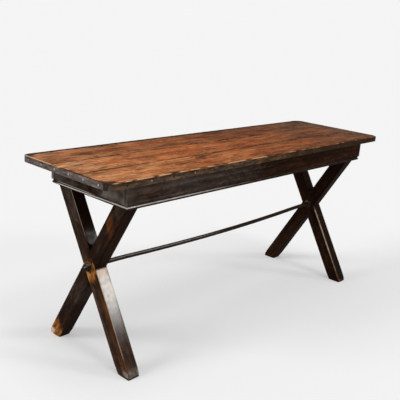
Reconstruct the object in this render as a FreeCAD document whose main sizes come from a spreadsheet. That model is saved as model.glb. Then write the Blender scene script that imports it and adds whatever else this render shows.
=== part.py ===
import FreeCAD, Part
import os
import re
import Sketcher

# A sawbuck table: a plank top with a nailed iron edge band, on an apron box with a bead moulding,
# carried by two crossed-leg frames that an iron tie rod draws together.
# It stands on the floor at Z = 0, with its length along X and its front towards -Y.
# The origin lies on the floor below the middle of the top. Lengths are in millimetres.

SIZES = {
    # Whole table
    "table_length": 1758,
    "table_width": 502,
    "table_height": 760,
    # Top boards, joined by tongues and grooves
    "top_thickness": 25,
    "front_board_width": 161,
    "middle_board_width": 155,
    "tongue_depth": 8,
    "tongue_thickness": 8,
    "tongue_clearance": 0.5,
    "arris_radius": 1.5,
    # Iron band round the edge of the top, and its nails
    "corner_radius": 36,
    "band_thickness": 3,
    "band_rim": 2,
    "band_gap": 1,
    "end_nail_pitch": 80,
    "side_nail_pitch": 106.5,
    "nail_rise": 12,
    "nail_head_diameter": 8,
    "nail_head_height": 2,
    "nail_shank_diameter": 3,
    "nail_length": 25,
    # Apron boards and the bead strips under them
    "end_overhang": 112,
    "side_overhang": 33,
    "apron_thickness": 18,
    "apron_depth": 76,
    "bead_depth": 17,
    "bead_inset": 2.5,
    "bead_nose_radius": 5,
    "brad_diameter": 3,
    "brad_length": 55,
    "bead_pin_diameter": 2,
    "bead_pin_length": 30,
    "bead_pin_pitch": 240,
    # Crossed legs and the bearers on their heads
    "leg_thickness": 55,
    "leg_width": 62,
    "leg_chamfer": 2,
    "crossing_height": 368,
    "toe_height": 15,
    "head_clearance": 1,
    "head_trim": 1,
    "bearer_depth": 87,
    "tenon_width": 30,
    "tenon_thickness": 16,
    "tenon_height": 45,
    "mortise_clearance": 1,
    "peg_diameter": 10,
    # Iron tie rod with its nuts and washers
    "rod_diameter": 18,
    "rod_hole_clearance": 0.5,
    "rod_sag": 14,
    "rod_end": 7,
    "nut_width": 28,
    "nut_thickness": 14,
    "washer_diameter": 40,
    "washer_thickness": 3,
    # Battens, screws and glue blocks under the top
    "batten_width": 60,
    "batten_thickness": 28,
    "screw_diameter": 5,
    "screw_head_diameter": 10,
    "screw_head_height": 3,
    "screw_slot_width": 1.2,
    "screw_slot_depth": 1.2,
    "screw_bite": 16,
    "screw_inset": 30,
    "screw_well_diameter": 12,
    "fastener_offset": 15,
    "block_length": 90,
    "block_width": 26,
    "block_nose": 8,
    # How far a cutting solid runs past the face that it cuts
    "overrun": 5,
}

DERIVED = {
    "top_underside": "table_height - top_thickness",
    "board_half_length": "table_length / 2 - band_thickness",
    "board_half_width": "table_width / 2 - band_thickness",
    "board_corner_radius": "corner_radius - band_thickness",
    "front_seam": "front_board_width - board_half_width",
    "back_seam": "front_seam + middle_board_width",
    "tongue_low": "top_underside + (top_thickness - tongue_thickness) / 2",
    "tongue_high": "tongue_low + tongue_thickness",
    "apron_half_length": "table_length / 2 - end_overhang",
    "apron_half_width": "table_width / 2 - side_overhang",
    "inner_half_length": "apron_half_length - apron_thickness",
    "inner_half_width": "apron_half_width - apron_thickness",
    "apron_bottom": "top_underside - apron_depth",
    "bead_bottom": "apron_bottom - bead_depth",
    "bead_half_length": "apron_half_length - bead_inset",
    "bead_half_width": "apron_half_width - bead_inset",
    "bearer_bottom": "top_underside - bearer_depth",
    "frame_x": "inner_half_length - leg_thickness / 2",
    "leg_inner_x": "inner_half_length - leg_thickness",
    # A leg leans until its outer edge, run on past the side of the head, would stand out by the trim.
    "head_side": "inner_half_width - head_clearance",
    "head_reach": "head_side + head_trim",
    "head_rise": "bearer_bottom - crossing_height",
    "leg_lean": "acos(leg_width / 2 / sqrt(head_reach ^ 2 + head_rise ^ 2)) - atan2(head_rise; head_reach)",
    "leg_slope": "tan(leg_lean)",
    "leg_half_run": "leg_width / 2 / cos(leg_lean)",
    "crossing_half_height": "leg_half_run / leg_slope",
    "head_half_spread": "head_rise * leg_slope",
    "foot_half_spread": "crossing_height * leg_slope",
    "toe_y": "leg_slope * toe_height - foot_half_spread - leg_half_run",
    "head_trim_height": "bearer_bottom - head_trim / leg_slope",
    # The rod is straight through the frames and sags between them.
    "rod_half_length": "inner_half_length + washer_thickness + nut_thickness + rod_end",
    "rod_half_span": "leg_inner_x - washer_thickness - nut_thickness - rod_end",
    "screw_seat": "top_underside - batten_thickness",
}

# Places along the pieces that carry them
APRON_NAIL_SHARES = (0.25, 0.75)
BEARER_NAIL_SHARES = (0.4, 0.8)
BATTEN_PLACE_SHARE = 0.3
BLOCK_PLACE_SHARES = (-0.62, 0, 0.62)
ROD_BEND_SHARE = 0.2
# Radius and height of a domed nail head, from its rim to its crown
DOME_SHARES = ((1, 0), (0.87, 0.5), (0.5, 0.87), (0, 1))
# A square nut comes to rest at any angle.
NUT_TURNS = {"left_outer": 24, "left_inner": 8, "right_inner": 40, "right_outer": 15}

SAME_PLACE = 0.001
X_AXIS = FreeCAD.Vector(1, 0, 0)
Y_AXIS = FreeCAD.Vector(0, 1, 0)
Z_AXIS = FreeCAD.Vector(0, 0, 1)
UPRIGHT = FreeCAD.Rotation()
HALF_TURN = FreeCAD.Rotation(Z_AXIS, 180)


# The sheet and what is bound to it

def make_sheet():
    sheet = doc.addObject("Spreadsheet::Sheet", "Sizes")
    rows = {name: str(size) for name, size in SIZES.items()}
    rows.update({name: "=" + formula for name, formula in DERIVED.items()})
    for row, (name, content) in enumerate(rows.items(), start=1):
        sheet.set(f"A{row}", "'" + name)
        sheet.set(f"B{row}", content)
        sheet.setAlias(f"B{row}", name)
    doc.recompute()
    return sheet


def cells(expression):
    """The expression with each size named as a cell of the sheet."""
    def cell(match):
        word = match.group()
        return f"Sizes.{word}" if word in SIZES or word in DERIVED else word
    return re.sub(r"[a-z_]+", cell, expression)


def number(expression):
    result = sizes.evalExpression(cells(expression))
    return getattr(result, "Value", result)


def bind(item, **expressions):
    for name, expression in expressions.items():
        item.setExpression(name, cells(expression))


def put(item, x, y, z, turn=UPRIGHT):
    """Turns an item and binds its place to the sheet."""
    item.Placement = FreeCAD.Placement(FreeCAD.Vector(), turn)
    for axis, expression in zip("xyz", (x, y, z)):
        item.setExpression(f"Placement.Base.{axis}", cells(expression))
    return item


# Solids made from sketches

def new_body(label):
    body = doc.addObject("PartDesign::Body", label)
    body.Label = label
    return body


def new_sketch(body, plane):
    sketch = body.newObject("Sketcher::SketchObject", body.Name + "_sketch")
    support = next(part for part in body.Origin.OriginFeatures if part.Role == plane)
    sketch.AttachmentSupport = [(support, "")]
    sketch.MapMode = "FlatFace"
    return sketch


def outline(body, plane, corners):
    """A closed outline through corners that are given as pairs of expressions."""
    sketch = new_sketch(body, plane)
    points = [FreeCAD.Vector(number(across), number(up), 0) for across, up in corners]
    count = len(points)
    for index, point in enumerate(points):
        sketch.addGeometry(Part.LineSegment(point, points[(index + 1) % count]), False)
    for index in range(count):
        sketch.addConstraint(Sketcher.Constraint("Coincident", index, 2, (index + 1) % count, 1))
    for index, (point, corner) in enumerate(zip(points, corners)):
        for kind, start, expression in zip(("DistanceX", "DistanceY"), point, corner):
            rule = sketch.addConstraint(Sketcher.Constraint(kind, -1, 1, index, 1, start))
            sketch.setExpression(f"Constraints[{rule}]", cells(expression))
    return sketch


def rectangle(body, plane, low_across, low_up, high_across, high_up):
    return outline(body, plane, [(low_across, low_up), (high_across, low_up),
                                 (high_across, high_up), (low_across, high_up)])


def circle(body, plane, across, up, diameter):
    sketch = new_sketch(body, plane)
    centre = FreeCAD.Vector(number(across), number(up), 0)
    sketch.addGeometry(Part.Circle(centre, Z_AXIS, number(diameter) / 2), False)
    rules = (("DistanceX", (-1, 1, 0, 3), across), ("DistanceY", (-1, 1, 0, 3), up),
             ("Diameter", (0,), diameter))
    for kind, ends, expression in rules:
        rule = sketch.addConstraint(Sketcher.Constraint(kind, *ends, number(expression)))
        sketch.setExpression(f"Constraints[{rule}]", cells(expression))
    return sketch


def pad(body, sketch, length, symmetric=False):
    feature = body.newObject("PartDesign::Pad", body.Name + "_pad")
    feature.Profile = sketch
    feature.SideType = "Symmetric" if symmetric else "One side"
    bind(feature, Length=length)
    doc.recompute()
    return feature


def pocket(body, sketch, length, reverse=False, symmetric=False):
    before = body.Shape.Volume
    feature = body.newObject("PartDesign::Pocket", body.Name + "_pocket")
    feature.Profile = sketch
    feature.SideType = "Symmetric" if symmetric else "One side"
    feature.Reversed = reverse
    bind(feature, Length=length)
    doc.recompute()
    if body.Shape.Volume >= before:
        raise RuntimeError(f"A pocket of {body.Label} cuts nothing")
    return feature


def revolve(body, sketch):
    feature = body.newObject("PartDesign::Revolution", body.Name + "_revolution")
    feature.Profile = sketch
    feature.ReferenceAxis = (sketch, ["V_Axis"])
    feature.Angle = 360
    doc.recompute()
    return feature


def ease(body, kind, wanted, **size):
    """Rounds or chamfers the edges of a body that are wanted."""
    base = body.Tip
    names = [f"Edge{place}" for place, edge in enumerate(base.Shape.Edges, start=1) if wanted(edge)]
    feature = body.newObject(f"PartDesign::{kind}", f"{body.Name}_{kind.lower()}")
    feature.Base = (base, names)
    bind(feature, **size)
    doc.recompute()
    return feature


def same(first, second):
    return abs(first - second) < SAME_PLACE


def runs_along(edge, direction):
    """Whether a straight edge runs along a direction."""
    if not isinstance(edge.Curve, Part.Line):
        return False
    return edge.tangentAt(edge.FirstParameter).cross(direction).Length < SAME_PLACE


# Solids made from primitives, and cuts

def box(label, length, width, height, x, y, z):
    """A box with its lowest corner at the given place."""
    item = doc.addObject("Part::Box", label)
    item.Label = label
    bind(item, Length=length, Width=width, Height=height)
    return put(item, x, y, z)


def cylinder(label, diameter, height):
    item = doc.addObject("Part::Cylinder", label)
    item.Label = label
    bind(item, Radius=f"({diameter}) / 2", Height=height)
    return item


def group(label, items):
    item = doc.addObject("Part::Compound", label)
    item.Label = label
    item.Links = items
    return item


def copies(label, master, places):
    """A group of copies of one fastener, each at a place and with a turn."""
    links = []
    for x, y, z, turn in places:
        link = doc.addObject("App::Link", label + "_copy")
        link.LinkedObject = master
        links.append(put(link, x, y, z, turn))
    return group(label, links)


def cut(label, blank, tools):
    """A piece left by cutting tools out of a blank, so that fasteners fill their holes."""
    item = doc.addObject("Part::Cut", label)
    item.Label = label
    item.Base = blank
    item.Tool = group(label + "_tools", tools)
    return item


def driven(direction):
    """The turn that points a fastener's shank in a direction."""
    return FreeCAD.Rotation(Z_AXIS, direction)


def spaced(room, pitch):
    """Places along a stretch, one pitch apart and centred, as expressions."""
    count = int(number(room) // number(pitch)) + 1
    return [f"{index - (count - 1) / 2} * {pitch}" for index in range(count)]


# Fasteners

def make_edge_nail():
    body = new_body("edge_nail")
    dome = [(f"{wide} * nail_head_diameter / 2", f"-{high} * nail_head_height") for wide, high in DOME_SHARES]
    shank = [("0", "nail_length"), ("nail_shank_diameter / 2", "nail_length"),
             ("nail_shank_diameter / 2", "0")]
    revolve(body, outline(body, "XZ_Plane", shank + dome))
    return body


def make_screw():
    body = new_body("wood_screw")
    length = "batten_thickness + screw_bite"
    profile = [("0", "0"), ("screw_head_diameter / 2", "0"), ("screw_diameter / 2", "screw_head_height"),
               ("screw_diameter / 2", length), ("0", length)]
    revolve(body, outline(body, "XZ_Plane", profile))
    slot = rectangle(body, "XY_Plane", "-screw_head_diameter", "-screw_slot_width / 2",
                     "screw_head_diameter", "screw_slot_width / 2")
    pocket(body, slot, "screw_slot_depth", reverse=True)
    return body


def edge_nail_places():
    """Nails all round the band, driven inwards through the middle of its face."""
    height = "top_underside + nail_rise"
    places = []
    for y in spaced("table_width - 2 * corner_radius", "end_nail_pitch"):
        places.append(("-table_length / 2", y, height, driven(X_AXIS)))
        places.append(("table_length / 2", y, height, driven(-X_AXIS)))
    for x in spaced("table_length - 2 * corner_radius", "side_nail_pitch"):
        places.append((x, "-table_width / 2", height, driven(Y_AXIS)))
        places.append((x, "table_width / 2", height, driven(-Y_AXIS)))
    return places


def side_nail_places(x, shares):
    """Nails through the long apron boards, one above the other, at both ends of the table."""
    places = []
    for end in ("-", ""):
        for share in shares:
            height = f"apron_bottom + {share} * apron_depth"
            places.append((f"{end}({x})", "-apron_half_width", height, driven(Y_AXIS)))
            places.append((f"{end}({x})", "apron_half_width", height, driven(-Y_AXIS)))
    return places


def bead_pin_places():
    """Pins driven up through the bead strips into the apron boards."""
    side_y = "(apron_half_width - apron_thickness / 2)"
    end_x = "(apron_half_length - apron_thickness / 2)"
    places = []
    for end in ("-", ""):
        for x in spaced("2 * inner_half_length", "bead_pin_pitch"):
            places.append((x, end + side_y, "bead_bottom", UPRIGHT))
        for y in spaced("2 * inner_half_width", "bead_pin_pitch"):
            places.append((end + end_x, y, "bead_bottom", UPRIGHT))
    return places


def screw_places(wells):
    """One screw into each top board at every bearer and batten, or the wells of the bearer screws."""
    batten_x = f"{BATTEN_PLACE_SHARE} * inner_half_length"
    rows = ["frame_x - fastener_offset"] if wells else ["frame_x - fastener_offset", batten_x]
    height = "bearer_bottom - overrun" if wells else "screw_seat"
    board_places = ("front_seam - screw_inset", "(front_seam + back_seam) / 2", "back_seam + screw_inset")
    return [(f"{end}({x})", y, height, UPRIGHT) for end in ("-", "") for x in rows for y in board_places]


def peg_places():
    return [(f"{end}frame_x - leg_thickness / 2", f"{side}head_half_spread",
             "bearer_bottom + tenon_height / 2", driven(X_AXIS)) for end in ("-", "") for side in ("-", "")]


# Top

def make_top_board(label, near, far, tongue, groove, tools):
    """A lengthwise board between two Y places, with its outer corners and top arrises eased."""
    profile = [(near, "top_underside"), (far, "top_underside")]
    if tongue:
        tip = f"{far} + tongue_depth"
        profile += [(far, "tongue_low"), (tip, "tongue_low"), (tip, "tongue_high"), (far, "tongue_high")]
    profile += [(far, "table_height"), (near, "table_height")]
    if groove:
        floor = f"{near} + tongue_depth + tongue_clearance"
        profile += [(near, "tongue_high"), (floor, "tongue_high"), (floor, "tongue_low"), (near, "tongue_low")]
    body = new_body(label + "_blank")
    pad(body, outline(body, "YZ_Plane", profile), "2 * board_half_length", symmetric=True)
    side = number("board_half_width")
    seams = (number("front_seam"), number("back_seam"))
    if not (tongue and groove):
        ease(body, "Fillet", lambda edge: runs_along(edge, Z_AXIS) and same(abs(edge.CenterOfMass.y), side),
             Radius="board_corner_radius")

    def on_rim(edge):
        on_top = all(same(vertex.Z, number("table_height")) for vertex in edge.Vertexes)
        on_seam = runs_along(edge, X_AXIS) and any(same(edge.CenterOfMass.y, seam) for seam in seams)
        return on_top and not on_seam

    ease(body, "Fillet", on_rim, Radius="arris_radius")
    return cut(label, body, tools)


def make_edge_band(nails):
    """One iron strip bent round the top, its ends butted at the back between two nails."""
    body = new_body("edge_band_blank")
    ring = rectangle(body, "XY_Plane", "-table_length / 2", "-table_width / 2",
                     "table_length / 2", "table_width / 2")
    pad(body, ring, "top_thickness - band_rim")
    hollow = rectangle(body, "XY_Plane", "-board_half_length", "-board_half_width",
                       "board_half_length", "board_half_width")
    pocket(body, hollow, "top_thickness", reverse=True)
    inside = number("board_half_width")
    outside = number("table_width / 2")
    for face_y, radius in ((inside, "board_corner_radius"), (outside, "corner_radius")):
        ease(body, "Fillet",
             lambda edge: runs_along(edge, Z_AXIS) and same(abs(edge.CenterOfMass.y), face_y),
             Radius=radius)
    back_nails = spaced("table_length - 2 * corner_radius", "side_nail_pitch")
    middle = f"{0.5 * (len(back_nails) % 2)} * side_nail_pitch"
    gap = rectangle(body, "XY_Plane", f"{middle} - band_gap / 2", "board_half_width - overrun",
                    f"{middle} + band_gap / 2", "table_width / 2 + overrun")
    pocket(body, gap, "top_thickness", reverse=True)
    put(body, "0", "0", "top_underside")
    return cut("edge_band", body, [nails])


# Apron

def make_long_apron(label, low_y, tools):
    blank = box(label + "_blank", "2 * apron_half_length", "apron_thickness", "apron_depth",
                "-apron_half_length", low_y, "apron_bottom")
    return cut(label, blank, tools)


def make_end_apron(label, low_x, tools):
    blank = box(label + "_blank", "apron_thickness", "2 * inner_half_width", "apron_depth",
                low_x, "-inner_half_width", "apron_bottom")
    return cut(label, blank, tools)


def make_bead(label, half_length, half_width, inner_half_length, turn, pins):
    """A mitred strip whose outer edge is rounded, drawn along -Y and then turned to its side."""
    body = new_body(label + "_blank")
    inner_y = f"-({half_width} - apron_thickness + bead_inset)"
    corners = [(f"-{half_length}", f"-{half_width}"), (half_length, f"-{half_width}"),
               (inner_half_length, inner_y), (f"-{inner_half_length}", inner_y)]
    pad(body, outline(body, "XY_Plane", corners), "bead_depth")
    outside = -number(half_width)
    ease(body, "Fillet", lambda edge: runs_along(edge, X_AXIS) and same(edge.CenterOfMass.y, outside),
         Radius="bead_nose_radius")
    put(body, "0", "0", "bead_bottom", FreeCAD.Rotation(Z_AXIS, turn))
    return cut(label, body, [pins])


# Crossed legs and bearers

def make_leg(label, end, turn, pegs):
    """A leg with its foot to the front, halved on its +X side, then turned for a foot to the back."""
    body = new_body(label + "_blank")
    profile = [("toe_y", "0"), ("leg_half_run - foot_half_spread", "0"), ("head_side", "head_trim_height"),
               ("head_side", "bearer_bottom"), ("head_half_spread - leg_half_run", "bearer_bottom"),
               ("toe_y", "toe_height")]
    pad(body, outline(body, "YZ_Plane", profile), "leg_thickness", symmetric=True)
    along = FreeCAD.Vector(0, number("leg_slope"), 1).normalize()
    ease(body, "Chamfer", lambda edge: runs_along(edge, along), Size="leg_chamfer")
    tenon = rectangle(body, "YZ_Plane", "head_half_spread - tenon_width / 2", "bearer_bottom",
                      "head_half_spread + tenon_width / 2", "bearer_bottom + tenon_height")
    pad(body, tenon, "tenon_thickness", symmetric=True)
    halving = outline(body, "YZ_Plane", [("leg_half_run", "crossing_height"),
                                         ("0", "crossing_height + crossing_half_height"),
                                         ("-leg_half_run", "crossing_height"),
                                         ("0", "crossing_height - crossing_half_height")])
    pocket(body, halving, "leg_thickness / 2 + overrun", reverse=True)
    rod_hole = circle(body, "YZ_Plane", "0", "crossing_height", "rod_diameter + 2 * rod_hole_clearance")
    pocket(body, rod_hole, "leg_thickness + 2 * overrun", symmetric=True)
    put(body, f"{end}frame_x", "0", "0", turn)
    return cut(label, body, [pegs])


def make_bearer(label, end, tools):
    """The cross rail on the heads of two legs, mortised from below for their tenons."""
    low_x = f"{end}frame_x - leg_thickness / 2"
    blank = box(label + "_blank", "leg_thickness", "2 * inner_half_width", "bearer_depth",
                low_x, "-inner_half_width", "bearer_bottom")
    mortises = [box(f"{label}_mortise", "tenon_thickness", "tenon_width",
                    "tenon_height + mortise_clearance + overrun", f"{end}frame_x - tenon_thickness / 2",
                    f"{side}head_half_spread - tenon_width / 2", "bearer_bottom - overrun")
                for side in ("-", "")]
    return cut(label, blank, mortises + tools)


# Tie rod

def sagging_path():
    """A line, three tangent arcs and a line: the rod's middle hangs by its sag."""
    half_length = number("rod_half_length")
    half_span = number("rod_half_span")
    sag = number("rod_sag")
    height = number("crossing_height")
    bend = ROD_BEND_SHARE * half_span
    swing = (half_span ** 2 + sag ** 2) / (2 * half_span * sag)
    bend_radius = bend * swing
    main_radius = (half_span - bend) * swing
    turn_sine = 1 / swing
    turn_cosine = (half_span ** 2 - sag ** 2) / (half_span ** 2 + sag ** 2)
    half_cosine = half_span / (half_span ** 2 + sag ** 2) ** 0.5
    half_sine = sag / (half_span ** 2 + sag ** 2) ** 0.5

    def at(x, drop):
        return FreeCAD.Vector(x, 0, height - drop)

    def half(side):
        end = at(side * half_length, 0)
        start = at(side * half_span, 0)
        middle = at(side * (half_span - bend_radius * half_sine), bend_radius * (1 - half_cosine))
        turn = at(side * (half_span - bend_radius * turn_sine), bend_radius * (1 - turn_cosine))
        return end, start, middle, turn

    left_end, left_start, left_middle, left_turn = half(-1)
    right_end, right_start, right_middle, right_turn = half(1)
    edges = [Part.LineSegment(left_end, left_start), Part.Arc(left_start, left_middle, left_turn),
             Part.Arc(left_turn, at(0, sag), right_turn), Part.Arc(right_turn, right_middle, right_start),
             Part.LineSegment(right_start, right_end)]
    path = doc.addObject("Part::Feature", "rod_path")
    path.Shape = Part.Wire([edge.toShape() for edge in edges])
    return path


def make_tie_rod():
    path = sagging_path()
    section = doc.addObject("Part::Circle", "rod_section")
    bind(section, Radius="rod_diameter / 2")
    put(section, "-rod_half_length", "0", "crossing_height", driven(X_AXIS))
    rod = doc.addObject("Part::Sweep", "tie_rod")
    rod.Label = "tie_rod"
    rod.Sections = [section]
    rod.Spine = (path, [f"Edge{place}" for place in range(1, len(path.Shape.Edges) + 1)])
    rod.Solid = True
    return rod


def make_nut(label, x, turn):
    """A square nut standing on its face at x, towards +X."""
    body = new_body(label)
    square = rectangle(body, "YZ_Plane", "-nut_width / 2", "-nut_width / 2", "nut_width / 2", "nut_width / 2")
    pad(body, square, "nut_thickness")
    pocket(body, circle(body, "YZ_Plane", "0", "0", "rod_diameter"), "nut_thickness", reverse=True)
    return put(body, x, "0", "crossing_height", FreeCAD.Rotation(X_AXIS, turn))


def make_washer(label, x):
    body = new_body(label)
    pad(body, circle(body, "YZ_Plane", "0", "0", "washer_diameter"), "washer_thickness")
    hole = circle(body, "YZ_Plane", "0", "0", "rod_diameter + 2 * rod_hole_clearance")
    pocket(body, hole, "washer_thickness", reverse=True)
    return put(body, x, "0", "crossing_height")


def make_rod_hardware():
    """A washer and a nut on each face of each crossing."""
    faces = {"left_outer": ("-inner_half_length", -1), "left_inner": ("-leg_inner_x", 1),
             "right_inner": ("leg_inner_x", -1), "right_outer": ("inner_half_length", 1)}
    pieces = []
    for name, (face_x, way) in faces.items():
        if way > 0:
            washer_x = face_x
            nut_x = f"{face_x} + washer_thickness"
        else:
            washer_x = f"{face_x} - washer_thickness"
            nut_x = f"{washer_x} - nut_thickness"
        pieces.append(make_washer(f"washer_{name}", washer_x))
        pieces.append(make_nut(f"nut_{name}", nut_x, NUT_TURNS[name]))
    return pieces


# Pieces under the top

def make_batten(label, end, screws):
    x = f"{end}{BATTEN_PLACE_SHARE} * inner_half_length - batten_width / 2"
    blank = box(label + "_blank", "batten_width", "2 * inner_half_width", "batten_thickness",
                x, "-inner_half_width", "screw_seat")
    return cut(label, blank, [screws])


def make_glue_block(label, share, turn):
    """A block in the angle of the back apron and the top, then turned for the front apron."""
    body = new_body(label)
    profile = [("0", "0"), ("-block_width", "0"), ("-block_width", "-block_nose"),
               ("-block_nose", "-block_width"), ("0", "-block_width")]
    pad(body, outline(body, "YZ_Plane", profile), "block_length", symmetric=True)
    side = "inner_half_width" if turn == UPRIGHT else "-inner_half_width"
    return put(body, f"{share} * inner_half_length", side, "top_underside", turn)


# The whole table

def make_table():
    edge_nails = copies("edge_nails", make_edge_nail(), edge_nail_places())
    brad = cylinder("brad", "brad_diameter", "brad_length")
    apron_nails = copies("apron_nails", brad,
                         side_nail_places("apron_half_length - apron_thickness / 2", APRON_NAIL_SHARES))
    bearer_nails = copies("bearer_nails", brad,
                          side_nail_places("frame_x + fastener_offset", BEARER_NAIL_SHARES))
    bead_pins = copies("bead_pins", cylinder("bead_pin", "bead_pin_diameter", "bead_pin_length"),
                       bead_pin_places())
    top_screws = copies("top_screws", make_screw(), screw_places(wells=False))
    screw_well = cylinder("screw_well", "screw_well_diameter", "screw_seat - bearer_bottom + overrun")
    screw_wells = copies("screw_wells", screw_well, screw_places(wells=True))
    tenon_pegs = copies("tenon_pegs", cylinder("peg", "peg_diameter", "leg_thickness"), peg_places())

    board_tools = [edge_nails, top_screws]
    side_tools = [apron_nails, bearer_nails, bead_pins]
    end_tools = [apron_nails, bead_pins]
    bearer_tools = [tenon_pegs, top_screws, screw_wells, bearer_nails]
    pieces = [
        make_top_board("top_board_front", "-board_half_width", "front_seam", True, False, board_tools),
        make_top_board("top_board_middle", "front_seam", "back_seam", True, True, board_tools),
        make_top_board("top_board_back", "back_seam", "board_half_width", False, True, board_tools),
        make_edge_band(edge_nails),
        edge_nails,
        make_long_apron("apron_front", "-apron_half_width", side_tools),
        make_long_apron("apron_back", "inner_half_width", side_tools),
        make_end_apron("apron_left", "-apron_half_length", end_tools),
        make_end_apron("apron_right", "inner_half_length", end_tools),
        apron_nails,
        make_bead("bead_front", "bead_half_length", "bead_half_width", "inner_half_length", 0, bead_pins),
        make_bead("bead_back", "bead_half_length", "bead_half_width", "inner_half_length", 180, bead_pins),
        make_bead("bead_left", "bead_half_width", "bead_half_length", "inner_half_width", -90, bead_pins),
        make_bead("bead_right", "bead_half_width", "bead_half_length", "inner_half_width", 90, bead_pins),
        bead_pins,
        make_bearer("head_bearer_left", "-", bearer_tools),
        make_bearer("head_bearer_right", "", bearer_tools),
        bearer_nails,
        tenon_pegs,
        make_leg("leg_left_front", "-", UPRIGHT, tenon_pegs),
        make_leg("leg_left_back", "-", HALF_TURN, tenon_pegs),
        make_leg("leg_right_front", "", UPRIGHT, tenon_pegs),
        make_leg("leg_right_back", "", HALF_TURN, tenon_pegs),
        make_tie_rod(),
        make_batten("batten_left", "-", top_screws),
        make_batten("batten_right", "", top_screws),
        top_screws,
    ]
    pieces += make_rod_hardware()
    for place, share in enumerate(BLOCK_PLACE_SHARES, start=1):
        pieces.append(make_glue_block(f"glue_block_back_{place}", share, UPRIGHT))
        pieces.append(make_glue_block(f"glue_block_front_{place}", share, HALF_TURN))
    doc.recompute()
    return pieces


def check(pieces):
    for item in doc.Objects:
        if "Invalid" in item.State or "Error" in item.State:
            raise RuntimeError(f"{item.Label} failed: {item.State}")
    for piece in pieces:
        if piece.Shape.isNull() or not piece.Shape.isValid() or not piece.Shape.Solids:
            raise RuntimeError(f"{piece.Label} is not a sound solid")


doc = FreeCAD.newDocument("SawbuckTable")
sizes = make_sheet()
table = make_table()
check(table)
os.makedirs("parts", exist_ok=True)
for piece in table:
    piece.Shape.exportStep(f"parts/{piece.Label}.step")
    print(f"{piece.Label}: {len(piece.Shape.Solids)} solid(s), {piece.Shape.Volume:.0f} mm3")
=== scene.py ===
import math
import random
import bmesh
import bpy
from mathutils import Matrix, Vector, noise


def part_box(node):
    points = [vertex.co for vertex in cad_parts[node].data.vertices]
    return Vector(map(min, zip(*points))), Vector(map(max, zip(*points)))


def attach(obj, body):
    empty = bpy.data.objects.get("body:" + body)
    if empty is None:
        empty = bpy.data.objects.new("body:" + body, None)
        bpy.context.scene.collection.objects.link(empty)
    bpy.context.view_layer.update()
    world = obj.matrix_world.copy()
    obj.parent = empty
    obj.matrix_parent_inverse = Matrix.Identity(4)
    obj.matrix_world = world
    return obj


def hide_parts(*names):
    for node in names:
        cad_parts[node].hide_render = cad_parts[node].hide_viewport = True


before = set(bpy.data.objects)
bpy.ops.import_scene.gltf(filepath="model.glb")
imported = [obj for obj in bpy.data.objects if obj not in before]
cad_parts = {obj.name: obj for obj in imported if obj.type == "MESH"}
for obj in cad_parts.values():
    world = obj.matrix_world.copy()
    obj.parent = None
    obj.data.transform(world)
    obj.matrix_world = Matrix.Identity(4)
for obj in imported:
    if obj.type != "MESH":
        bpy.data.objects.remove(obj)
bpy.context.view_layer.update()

# Camera, at the photograph's viewing angle
CAMERA_PLACE = Vector((-2.165, -1.791, 1.3115))
CAMERA_YAW = math.radians(48.204)
CAMERA_PITCH = math.radians(16.236)
CAMERA_ROLL = math.radians(4.292)
CAMERA_LENS = 58.81

# Stage and light
PALE = 0.91
AMBIENT = 0.34
FLOOR_COLOUR = (0.63, 0.63, 0.63)
FLOOR_BOUNCE = (0.38, 0.38, 0.38)
FLOOR_GLOW = 0.325
FLOOR_SIZE = 400
LAMP_DISTANCE = 5
# Each soft lamp: direction towards it, the angle that it fills and its strength
LAMPS = {
    "overhead": ((0.0, -0.05, 1.00), 30, 0.66),
    "front": ((0.0, -0.50, 0.87), 14, 0.40),
    "left": ((-0.80, 0.35, 0.55), 24, 1.15),
    "camera_right": ((0.57, -0.685, 0.44), 13, 0.52),
}

# Sizes that the frame's boxes don't give, in metres
BOARD_CORNER = 0.033
BOARD_ARRIS = 0.0025
SEAM_ARRIS = 0.0012
TONGUE_THICKNESS = 0.008
GROOVE_ROOM = 0.0005
BAND_THICKNESS = 0.003
BAND_GAP = 0.001
NAIL_HEAD = 0.008
NAIL_CROWN = 0.002
BEAD_NOSE = 0.0066
LEG_WIDTH = 0.062
LEG_CHAMFER = 0.002
HEAD_TRIM = 0.001
FOOT_WEAR = 0.045
ROD_BEND_SHARE = 0.2
THREAD_PITCH = 0.0025
NUT_WIDTH = 0.028
NUT_ROUNDING = 0.0022
# How far each nut is turned, in degrees
NUT_TURNS = {"left_outer": 5, "left_inner": 8, "right_inner": 40, "right_outer": 15}

# Meshes: how near to an arris counts as worn, and the extra line beside it
ARRIS_REACH = 0.008
ARRIS_LINE = 0.0015
# How far arrises are eased
BAND_EASE = 0.0007
APRON_EASE = 0.0013
INNER_EASE = 0.0016
# Lengths of steps along a piece, numbers of steps, and sides of round pieces
BAND_STEP = 0.007
TIMBER_STEP = 0.011
INNER_STEPS = 36
TOE_SHARES = (0, 0.004, 0.012, 0.024)
LEG_STEPS_BELOW = 60
LEG_STEPS_CROSSING = 8
LEG_STEPS_ABOVE = 46
THREAD_STEPS = 44
ROD_STEPS = 170
NAIL_SIDES = 14
ROD_SIDES = 18
WASHER_SIDES = 40
NUT_SIDES = 48
# The angle from which an edge is sharp
CREASE = math.radians(32)

X_AXIS = Vector((1, 0, 0))
Y_AXIS = Vector((0, 1, 0))
Z_AXIS = Vector((0, 0, 1))
SEED_SHIFT = Vector((7.3, 3.1, 5.7))


# Small helpers

def between(low, high, share):
    return low + (high - low) * share


def clamp(value):
    return min(max(value, 0), 1)


def rise(low, high, value):
    """0 on low's side, 1 on high's side and smooth between them."""
    share = clamp((value - low) / (high - low))
    return share * share * (3 - 2 * share)


def even(count):
    """Shares from 0 to 1 in even steps."""
    return [index / count for index in range(count + 1)]


def turns(count):
    """Angles of points that lie evenly round a circle."""
    return [2 * math.pi * share for share in even(count)[:-1]]


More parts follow.
